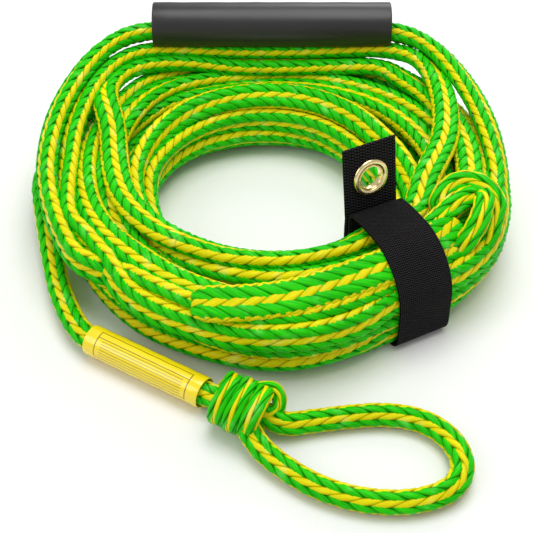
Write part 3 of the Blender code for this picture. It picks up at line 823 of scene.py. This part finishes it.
def outward_flat(path, centre):
    """The flat of a wrap lies square to the way out of the knot."""
    out = path - centre
    out = out - KNOT_AHEAD * (out @ KNOT_AHEAD)[:, None]
    return unit(np.cross(unit(np.gradient(path, axis=0)), unit(out)))


wrap_path = wraps_path()
wrap_flat = outward_flat(wrap_path, KNOT_CENTRE)
wrap = braided("front_knot_wraps", wrap_path, wrap_flat, 0.0128, 0.0090, 0.19, rise=0.8)
# The short end turns once round in the plane square to the view: angles in degrees and radii.
STUB_CENTRE = np.array((-0.0060, -0.2145, 0.0228))
STUB_ACROSS, STUB_BACK = np.array((1, 0, 0)), np.array((0, 0.669, 0.743))
STUB_TURN = [(165, 0.0120), (125, 0.0095), (88, 0.0085), (48, 0.0098)]
STUB_TURN += [(5, 0.0092), (-38, 0.0096), (-80, 0.0090), (-125, 0.0110)]
stub_points = [
    STUB_CENTRE + r * (STUB_ACROSS * cos(radians(a)) + STUB_BACK * sin(radians(a))) for a, r in STUB_TURN
]
stub_path = smooth_line(stub_points, 0.0025)
stub = braided("front_knot_stub", stub_path, seen_flat(stub_path), 0.0098, 0.0090, 0.16, rise=0.8)
assign(wrap, "tail", "knots", "front_knot")
assign(stub, "tail", "knots", "front_knot_end")

# ---- the knot beside the strap: three crossing stretches, whose ends are sunk in the coil ----
arch = smooth_line(
    [
        line[-4], line[-1], (0.144, -0.056, 0.066), (0.13, -0.064, 0.065), (0.1215, -0.064, 0.069),
        (0.1275, -0.053, 0.075), (0.1382, -0.0463, 0.0775), (0.149, -0.046, 0.077),
        (0.159, -0.052, 0.074), (0.164, -0.062, 0.069), (0.161, -0.074, 0.062), (0.156, -0.084, 0.053),
        (0.148, -0.092, 0.046),
    ],
    0.004,
)
leg = smooth_line(
    [
        (0.16, -0.046, 0.06), (0.151, -0.053, 0.069), (0.1387, -0.0613, 0.072),
        (0.1265, -0.0728, 0.0705), (0.1147, -0.086, 0.0685), (0.103, -0.096, 0.067),
    ],
    0.004,
)
hook = smooth_line(
    [
        (0.15, -0.048, 0.068), (0.1545, -0.06, 0.0735), (0.152, -0.074, 0.0745),
        (0.1465, -0.0865, 0.069), (0.138, -0.0955, 0.06), (0.129, -0.1, 0.049), (0.12, -0.103, 0.04),
    ],
    0.004,
)
for name, path, wide, deep, *nodes in (
    ("side_knot_arch", arch, 0.0150, 0.0105, "side_knot"),
    ("side_knot_leg", leg, 0.0165, 0.0110),
    ("side_knot_hook", hook, 0.0150, 0.0100),
):
    assign(braided(name, path, seen_flat(path), wide, deep, 0.16), "coil", "knots", *nodes)


# ---- the second end's loop, pressed flat and folded back under itself, tucked under the strap ----
FOLD_RADIUS, FOLD_STEPS = 0.0034, 6


def tucked_paths():
    """The paths and flats of the loop's upper leg, with the fold at its end, and of its lower leg."""
    middle = smooth_line(TUCKED_ROUTE, 0.005)
    ahead = unit(np.gradient(middle, axis=0))
    out = unit(np.cross(ahead, UP))
    flat = out * cos(TUCKED_TILT) - UP * sin(TUCKED_TILT)
    deep = unit(np.cross(flat, ahead))
    deep = deep * np.sign(deep[:, 2:3])
    upper, lower = middle + deep * FOLD_RADIUS, middle - deep * FOLD_RADIUS
    turn = np.linspace(0.3, pi - 0.3, FOLD_STEPS)[:, None]
    bend = middle[0] - ahead[0] * FOLD_RADIUS * np.sin(turn) + deep[0] * FOLD_RADIUS * np.cos(turn)
    top = np.vstack([upper[::-1], bend, lower[:4]])
    top_flat = np.vstack([flat[::-1], np.repeat(flat[:1], FOLD_STEPS, axis=0), flat[:4]])
    return top, top_flat, lower[3:], flat[3:]


top_leg, top_flat, low_leg, low_flat = tucked_paths()
# The loop narrows towards its fold.
from_bend = np.linalg.norm(top_leg - top_leg[-7], axis=1)
tucked_width = 0.0262 - 0.0085 * np.clip(1 - from_bend / 0.014, 0, 1) ** 2
tucked = braided("tucked_loop_top", top_leg, top_flat, tucked_width, 0.0072, rise=0.8)
under = braided("tucked_loop_under", low_leg, low_flat, 0.0250, 0.0066, rise=0.8)
assign(tucked, "coil", "line", "tucked_loop")
as_cord(top_leg)
assign(under, "coil", "line")
as_cord(low_leg)
assign(loop, "loop", "line", "front_loop")
as_cord(loop_path)


# ==== sleeves ====
def arc(centre, radii, start, stop, steps):
    """Points of an ellipse's arc between two angles in degrees."""
    return [
        (centre[0] + radii[0] * cos(radians(a)), centre[1] + radii[1] * sin(radians(a)))
        for a in np.linspace(start, stop, steps + 1)
    ]


def turned(name, outline, segments, start, end, mat):
    """A piece turned from its outline of radius and distance along the axis from start to end."""
    bm = bmesh.new()
    ring = [bm.verts.new((r, 0, z)) for r, z in outline]
    edges = [bm.edges.new((ring[i - 1], ring[i])) for i in range(len(ring))]
    geom, here = ring + edges, (0, 0, 0)
    bmesh.ops.spin(bm, geom=geom, cent=here, axis=(0, 0, 1), angle=tau, steps=segments, use_merge=True)
    bmesh.ops.remove_doubles(bm, verts=bm.verts, dist=1e-7)
    bmesh.ops.recalc_face_normals(bm, faces=bm.faces)
    layer = bm.loops.layers.uv.new("around")
    for face in bm.faces:
        middle = face.calc_center_median()
        centre = atan2(middle.y, middle.x)
        for corner in face.loops:
            p = corner.vert.co
            a = atan2(p.y, p.x)
            a -= tau * ((a - centre > pi) - (centre - a > pi))
            corner[layer].uv = (a / tau + 0.5, p.z)
    spot = Vector(end - start).to_track_quat("Z", "Y").to_matrix()
    bmesh.ops.rotate(bm, verts=bm.verts, cent=(0, 0, 0), matrix=spot)
    bmesh.ops.translate(bm, verts=bm.verts, vec=Vector(start + COIL_CENTRE))
    obj = object_from(bm, name, mat)
    obj.data.shade_smooth()
    obj.data.set_sharp_from_angle(angle=radians(35))
    return obj


def rubber_material():
    tree = Tree("grip_rubber")
    place = object_place(tree)
    grain = noise(tree, place, 900.0, 2.0, 0.5)
    cloud = noise(tree, place, 14.0, 3.0, 0.5)
    base = colour(tree, cloud * 0.8 + grain * 0.2, (0.014, 0.0125, 0.0135), (0.027, 0.0245, 0.026))
    return tree.set(
        Base_Color=base,
        Roughness=(0.36 + (cloud - 0.5) * 0.18 + (grain - 0.5) * 0.10),
        Normal=bump(tree, grain, 0.12, 0.0004),
        Specular_IOR_Level=0.5,
    )


LABEL_RADIUS, LABEL_BORE = 0.0112, 0.0104


def film_material(facing):
    """Glossy film with a plain border and ruled lines. facing is the share round of the side that is seen."""
    tree = Tree("label_film")
    around, along = across_along(tree, "around")
    place = object_place(tree)
    cloud = noise(tree, place, 40.0, 2.0, 0.5)
    base = colour(tree, cloud, (0.90, 0.66, 0.004), (0.98, 0.79, 0.012))
    # u runs round the sleeve and v along it, in metres from the middle of the side that is seen
    u = ((around - facing + 1.5).part() - 0.5) * (tau * LABEL_RADIUS)
    v = along - 0.0490
    across_border = (u.size() - 0.0102).size().under(0.00035) * v.size().under(0.0390)
    along_border = (v.size() - 0.0390).size().under(0.00040) * u.size().under(0.0102)
    ruled = u.over(-0.0040) * u.under(0.0092) * v.size().under(0.0350)
    rules = ((u / 0.0021).part() - 0.5).size().under(0.17) * ruled
    divider = (u + 0.0052).size().under(0.0003) * v.size().under(0.0390)
    ink = across_border.most(along_border).most(rules * 0.62).most(divider)
    base = colour(tree, ink * 0.85, base, (0.09, 0.055, 0.01))
    crinkle = noise(tree, place, 160.0, 3.0, 0.6)
    return tree.set(
        Base_Color=base,
        Roughness=(0.20 + (crinkle - 0.5) * 0.16),
        Coat_Weight=(0.5 + (crinkle - 0.5) * 0.2),
        Coat_Roughness=0.08,
        Normal=bump(tree, crinkle, 0.10, 0.0008),
    )


SLEEVE_HALF, SLEEVE_RADIUS, SLEEVE_BORE = 0.1025, 0.0195, 0.0150
SLEEVE_CENTRE = np.array((-0.001, 0.160, 0.0885))


def sleeve_outline(radius, bore, length, edge):
    """A tube wall's outline with rounded end edges."""
    inner = edge * 0.5
    side = [(radius + 0.00012 * sin(k * 2.1), edge + (length - 2 * edge) * k / 16) for k in range(1, 16)]
    return (
        arc((radius - edge, edge), (edge, edge), -90, 0, 5)
        + side
        + arc((radius - edge, length - edge), (edge, edge), 0, 90, 5)
        + arc((bore + inner, length - inner), (inner, inner), 90, 180, 3)
        + arc((bore + inner, inner), (inner, inner), 180, 270, 3)
    )


reach = np.array((SLEEVE_HALF, 0, 0))
outline = sleeve_outline(SLEEVE_RADIUS, SLEEVE_BORE, 2 * SLEEVE_HALF, 0.0012)
grip = turned("grip_sleeve", outline, 112, SLEEVE_CENTRE - reach, SLEEVE_CENTRE + reach, rubber_material())
assign(grip, "handle", "grip", "handle_sleeve")

LABEL_START = np.array((-0.1310, -0.1460, 0.0118))
LABEL_END = np.array((-0.0480, -0.1975, 0.0118))
label_long = float(np.linalg.norm(LABEL_END - LABEL_START))
label_turn = Vector(LABEL_END - LABEL_START).to_track_quat("Z", "Y").to_matrix()
toward = label_turn.inverted() @ Vector(VIEW_WAY)
label_film = film_material(atan2(toward.y, toward.x) / tau + 0.5)
outline = sleeve_outline(LABEL_RADIUS, LABEL_BORE, label_long, 0.0004)
label = turned("label_sleeve_film", outline, 72, LABEL_START, LABEL_END, label_film)
assign(label, "tail", "label_film", "label_sleeve")
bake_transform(tail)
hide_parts("tail_lead")
as_cord(tail_path)


# ==== strap ====
STRAP_WIDTH, STRAP_THICKNESS = 0.044, 0.0018
TAB_LEAN, TAB_FOOT, TAB_LENGTH = radians(9), 0.068, 0.0555
GROMMET_UP = 0.0280
# The inner layer stands behind the wrap's inner run, with both patches of the closure between them.
WRAP_OUT = -0.0350
GAP, PATCH = 0.0004, 0.0011
INNER_OUT = WRAP_OUT - STRAP_THICKNESS - 2 * PATCH - 3 * GAP


def strap_point(out, z, across=0.0):
    """A point of the scene from the strap's own distances: out from its middle, up and across it."""
    return STRAP_MIDDLE + STRAP_OUT * out + STRAP_SIDE * across + UP * z + COIL_CENTRE


def webbing_material(name, pitch):
    """Black woven webbing: two-up ribs in staggered columns, with painted highlights on the rib tops and
    painted shade in the grooves.
    """
    tree = Tree(name)
    across, along = across_along(tree, "weave")
    column = across / (pitch * 0.95)
    odd = (column / 2.0).part().over(0.5)
    row = along / pitch + odd * 0.30
    ridge = (row * tau).sine() * 0.5 + 0.5
    swell = (column * pi).sine().size()
    height = ridge * (swell ** 0.5)
    fine = noise(tree, tree.node("CombineXYZ", None, X=across * 3000.0, Y=along * 9000.0), 1.0, 2.0, 0.5)
    cloud = noise(tree, object_place(tree), 30.0, 3.0, 0.6)
    # Painted light and shade: rib tops lighter and grooves darker by rib height, with some random tone from
    # fine and cloud.
    lit = (height ** 1.3 + (fine - 0.5) * 0.35 + (cloud - 0.5) * 0.25).clamped()
    base = colour(tree, lit, (0.0008, 0.0007, 0.0008), (0.062, 0.057, 0.062))
    return tree.set(
        Base_Color=base,
        Roughness=(0.72 + (fine - 0.5) * 0.25).clamped(),
        Normal=bump(tree, height + fine * 0.15, 1.0, 0.0020),
        Specular_IOR_Level=0.08,
    )


def brass_material():
    tree = Tree("polished_brass")
    place = object_place(tree)
    cloud = noise(tree, place, 60.0, 3.0, 0.6)
    scratches = noise(tree, place, 700.0, 2.0, 0.7)
    base = colour(tree, cloud, (0.90, 0.70, 0.30), (1.0, 0.86, 0.50))
    return tree.set(
        Base_Color=base,
        Metallic=1.0,
        Roughness=(0.22 + (scratches - 0.5) * 0.04 + (cloud - 0.5) * 0.06).clamped(),
        Normal=bump(tree, scratches, 0.005, 0.0002),
    )


def hook_material(name, looped):
    tree = Tree(name)
    place = object_place(tree)
    nap = noise(tree, place, 1400.0 if looped else 700.0, 3.0, 0.7)
    base = colour(tree, nap, (0.004, 0.004, 0.005), (0.04, 0.04, 0.044))
    return tree.set(Base_Color=base, Roughness=0.9, Normal=bump(tree, nap, 0.9, 0.0015))


tab_webbing = webbing_material("tab_webbing", 0.0024)
brass = brass_material()


def webbing(name, path, mat):
    """A strip of webbing along a path in the strap's plane, with rounded selvedges and its own weave map."""
    columns = 10
    bm = bmesh.new()
    layer = bm.loops.layers.uv.new("weave")
    along = distances(np.array(path))
    first = [bm.verts.new(strap_point(out, z, -STRAP_WIDTH / 2)) for out, z in path]
    rail = [bm.edges.new(pair) for pair in zip(first, first[1:])]
    step = Vector(strap_point(0, 0, STRAP_WIDTH / columns) - strap_point(0, 0, 0))
    for _ in range(columns):
        grown = bmesh.ops.extrude_edge_only(bm, edges=rail)["geom"]
        bmesh.ops.translate(bm, verts=[g for g in grown if isinstance(g, bmesh.types.BMVert)], vec=step)
        edges = [g for g in grown if isinstance(g, bmesh.types.BMEdge)]
        rail = [e for e in edges if len(e.link_faces) == 1 and all(v in grown for v in e.verts)]
    bmesh.ops.recalc_face_normals(bm, faces=bm.faces)
    flat_path = np.array([tuple(strap_point(out, z)) for out, z in path])
    side = Vector(STRAP_SIDE)
    origin = Vector(strap_point(0, 0))
    for face in bm.faces:
        for corner in face.loops:
            offset = (corner.vert.co - origin).dot(side)
            spot = np.array(corner.vert.co - side * offset)
            nearest = int(np.argmin(((flat_path - spot) ** 2).sum(axis=1)))
            corner[layer].uv = (offset + STRAP_WIDTH / 2, along[nearest])
    obj = object_from(bm, name, mat)
    obj.data.shade_smooth()
    wall = obj.modifiers.new("thickness", "SOLIDIFY")
    wall.thickness = STRAP_THICKNESS
    wall.offset = 0.0
    wall.use_even_offset = True
    soft = obj.modifiers.new("selvedge", "BEVEL")
    soft.width = STRAP_THICKNESS * 0.38
    soft.segments = 3
    soft.limit_method = "ANGLE"
    soft.angle_limit = radians(50)
    return obj


def band_path():
    """The wrap: from the tucked end up the inner side, over, down the outside and under."""
    keys = (
        [(WRAP_OUT, z) for z in (0.0140, 0.030, 0.047, 0.062)]
        + arc((-0.0305, 0.0712), (0.0045, 0.0045), 180, 110, 6)
        + [(-0.0200, 0.0770)]
        + arc((-0.0040, 0.0345), (0.0420, 0.0425), 84, 0, 16)
        + arc((0.0290, 0.0112), (0.0090, 0.0100), 0, -90, 8)
        + [(0.010, 0.0012), (-0.012, 0.0012), (-0.0340, 0.0012)]
    )
    return even(keys, 0.0022)


def even(path, step=0.0024):
    """Evenly spaced points on the smooth curve through a path in the strap's plane."""
    return [tuple(p) for p in smooth_line([(a, b, 0.0) for a, b in path], step)[:, :2]]


def tab_point(up, out=0.0):
    """A point in the strap's plane from distances up the leaning tab and out from it."""
    return (
        INNER_OUT - up * sin(TAB_LEAN) + out * cos(TAB_LEAN),
        TAB_FOOT + up * cos(TAB_LEAN) + out * sin(TAB_LEAN),
    )


# Where the grommet is, and the way that the tab faces.
GROMMET_CENTRE = strap_point(*tab_point(GROMMET_UP))
TAB_FACING = strap_point(*tab_point(0, 1)) - strap_point(*tab_point(0))


def bore_tab(tab):
    """Cuts the grommet's hole through the tab's webbing."""
    bm = bmesh.new()
    size = 0.0093
    bmesh.ops.create_cone(bm, cap_ends=True, segments=48, radius1=size, radius2=size, depth=0.02)
    facing = Vector(TAB_FACING).to_track_quat("Z", "Y").to_matrix()
    bmesh.ops.rotate(bm, verts=bm.verts, cent=(0, 0, 0), matrix=facing)
    bmesh.ops.translate(bm, verts=bm.verts, vec=Vector(GROMMET_CENTRE))
    punch = object_from(bm, "punch")
    hole = tab.modifiers.new("hole", "BOOLEAN")
    hole.operation = "DIFFERENCE"
    hole.solver = "EXACT"
    hole.object = punch
    bpy.context.view_layer.update()
    made = bpy.data.meshes.new_from_object(tab.evaluated_get(bpy.context.evaluated_depsgraph_get()))
    tab.modifiers.clear()
    tab.data = made
    bpy.data.objects.remove(punch, do_unlink=True)


inner_path = even([(INNER_OUT, z) for z in (0.0042, 0.036, 0.0676)])
tab_path = even([tab_point(TAB_LENGTH * s) for s in (-0.012, 0.5, 1)])
band = webbing("strap_wrap", band_path(), webbing_material("band_webbing", 0.00165))
inner = webbing("strap_inner_layer", inner_path, tab_webbing)
tab = webbing("strap_hanging_tab", tab_path, tab_webbing)
bore_tab(tab)
assign(band, "coil", "webbing", "strap_band")
assign(inner, "strap_layer", "webbing", "strap_inner_run")
assign(tab, "tab", "webbing", "strap_tab")
for node, looped in (("hook_patch", False), ("loop_patch", True)):
    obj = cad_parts[node]
    obj.data.materials.clear()
    obj.data.materials.append(hook_material(node + "_tape", looped))


def grommet_piece(name, outline, node):
    """A brass piece turned on the grommet's axis from its outline of radius and distance out."""
    centre = GROMMET_CENTRE - COIL_CENTRE
    assign(turned(name, outline, 96, centre, centre + TAB_FACING, brass), "tab", "grommet_brass", node)


# The flange is a barrel through the tab, a wide rounded ring on its face and a narrow lip inside that.
FACE = STRAP_THICKNESS / 2 + GAP
flange = [(0.0084, -FACE - 0.0010), (0.0087, -FACE - 0.0017), (0.0092, -FACE - 0.0013), (0.0092, FACE)]
flange += [(0.0142, FACE), (0.01435, FACE + 0.0004)]
flange += arc((0.0121, FACE + 0.0007), (0.0021, 0.0010), 0, 180, 8)
flange += [(0.0098, FACE + 0.0004), (0.0094, FACE + 0.0010), (0.0089, FACE + 0.0010), (0.0084, FACE + 0.0002)]
grommet_piece("grommet_ring", flange, "grommet_flange")
washer = [(0.0095, -FACE), (0.0095, -FACE - 0.0011), (0.0105, -FACE - 0.0013), (0.0125, -FACE - 0.0012)]
washer += [(0.0138, -FACE - 0.0007), (0.0142, -FACE)]
grommet_piece("grommet_back_washer", washer, "grommet_washer")

# ---- floor ----
floor_bm = bmesh.new()
bmesh.ops.create_grid(floor_bm, x_segments=2, y_segments=2, size=6.0)
paper = Tree("paper").set(Base_Color=(0.86, 0.86, 0.85, 1.0), Roughness=0.6)
floor = object_from(floor_bm, "floor", paper)

bpy.context.scene.view_settings.view_transform = "Standard"
